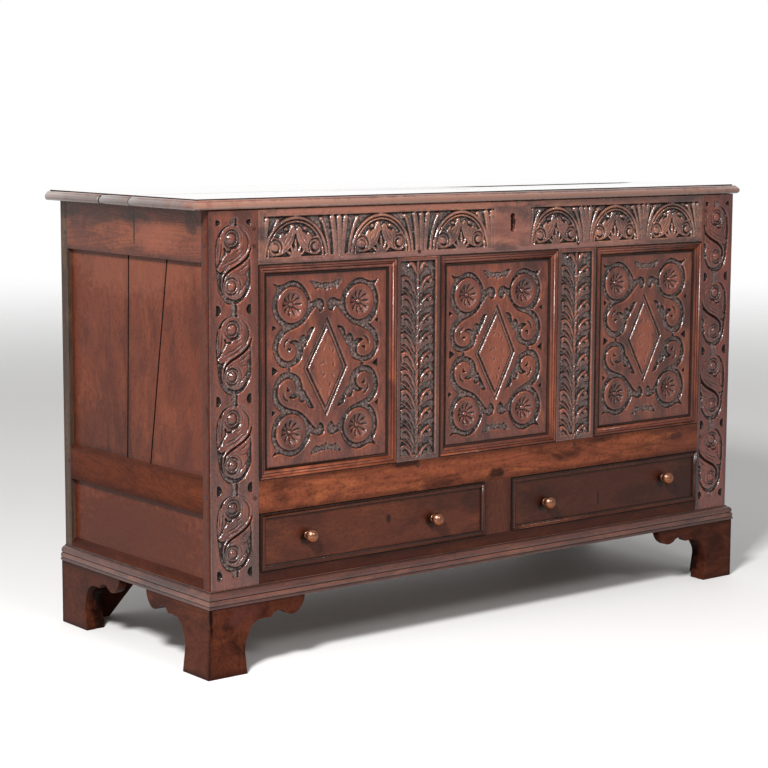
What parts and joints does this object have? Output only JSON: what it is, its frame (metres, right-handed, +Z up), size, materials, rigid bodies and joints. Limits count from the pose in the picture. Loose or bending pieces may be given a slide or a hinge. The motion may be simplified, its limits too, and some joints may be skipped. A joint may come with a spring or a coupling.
{
  "type": "mule chest",
  "caption": "Oak mule chest: carved panelled front, hinged moulded lid over a deep chest, drawers with round knobs below, shaped bracket feet.",
  "frame": {"origin": "middle of the base of the whole chest, on the floor", "axes": "+X along the front to its right-hand end, +Y from the front to the back, +Z up"},
  "size_m": [1.449, 0.5695, 0.889],
  "materials": {
    "oak_frame": "waxed, dark, worn",
    "oak_panel": "waxed, dark, worn",
    "oak_panel_moulding": "waxed, dark, worn",
    "oak_end": "waxed, dark, worn",
    "oak_back": "dry, unpolished",
    "oak_inside": "dry, unpolished",
    "oak_drawer_front": "waxed, dark, worn",
    "oak_edging": "waxed, dark, worn",
    "oak_base_moulding": "waxed, dark, worn",
    "oak_foot": "waxed, dark, worn",
    "oak_lid": "waxed, polished",
    "oak_peg": "waxed, dark",
    "iron": "dark, aged",
    "knob_brass": "dull, aged"
  },
  "bodies": {
    "carcase": {"front_stile_left": "oak_frame", "front_stile_right": "oak_frame", "front_top_rail": "oak_frame", "front_middle_rail": "oak_frame", "front_bottom_rail": "oak_frame", "front_muntin_left": "oak_frame", "front_muntin_right": "oak_frame", "drawer_muntin": "oak_frame", "front_panel_left": "oak_panel", "front_panel_middle": "oak_panel", "front_panel_right": "oak_panel", "panel_moulding_left": "oak_panel_moulding", "panel_moulding_middle": "oak_panel_moulding", "panel_moulding_right": "oak_panel_moulding", "end_top_rail_left": "oak_end", "end_middle_rail_left": "oak_end", "end_bottom_rail_left": "oak_end", "end_panels_left": "oak_end", "end_top_rail_right": "oak_end", "end_middle_rail_right": "oak_end", "end_bottom_rail_right": "oak_end", "end_panels_right": "oak_end", "back_stile_left": "oak_back", "back_stile_right": "oak_back", "back_top_rail": "oak_back", "back_middle_rail": "oak_back", "back_bottom_rail": "oak_back", "back_muntins": "oak_back", "back_panels": "oak_back", "floor_boards": "oak_inside", "drawer_runners": "oak_inside", "base_mouldings": "oak_base_moulding", "foot_front_left": "oak_foot", "foot_front_right": "oak_foot", "foot_back_left": "oak_foot", "foot_back_right": "oak_foot", "frame_pegs": "oak_peg", "lock_case": "iron", "hinge_leaves_carcase": "iron", "carcase_screws": "iron"},
    "lid": {"lid_front_board": "oak_lid", "lid_back_board": "oak_lid", "hinge_leaves_lid": "iron", "lock_staple": "iron", "lid_screws": "iron"},
    "lock_bolt": {"lock_bolt": "iron"},
    "drawer_left": {"drawer_left_front": "oak_drawer_front", "drawer_left_edging": "oak_edging", "drawer_left_sides": "oak_inside", "drawer_left_back": "oak_inside", "drawer_left_bottom": "oak_inside", "drawer_left_knob_left": "knob_brass", "drawer_left_knob_right": "knob_brass"},
    "drawer_right": {"drawer_right_front": "oak_drawer_front", "drawer_right_edging": "oak_edging", "drawer_right_sides": "oak_inside", "drawer_right_back": "oak_inside", "drawer_right_bottom": "oak_inside", "drawer_right_knob_left": "knob_brass", "drawer_right_knob_right": "knob_brass"}
  },
  "joints": [
    {"name": "lid_hinge", "type": "hinge", "parent": "carcase", "child": "lid", "pos_m": [0.0105, 0.28125, 0.8685], "axis": [-1, 0, 0], "range_deg": [0, 100]},
    {"name": "drawer_left_slide", "type": "slide", "parent": "carcase", "child": "drawer_left", "axis": [0, -1, 0], "range_m": [0, 0.4]},
    {"name": "drawer_right_slide", "type": "slide", "parent": "carcase", "child": "drawer_right", "axis": [0, -1, 0], "range_m": [0, 0.4]},
    {"name": "lock_bolt_slide", "type": "slide", "parent": "carcase", "child": "lock_bolt", "axis": [1, 0, 0], "range_m": [0, 0.014]}
  ]
}
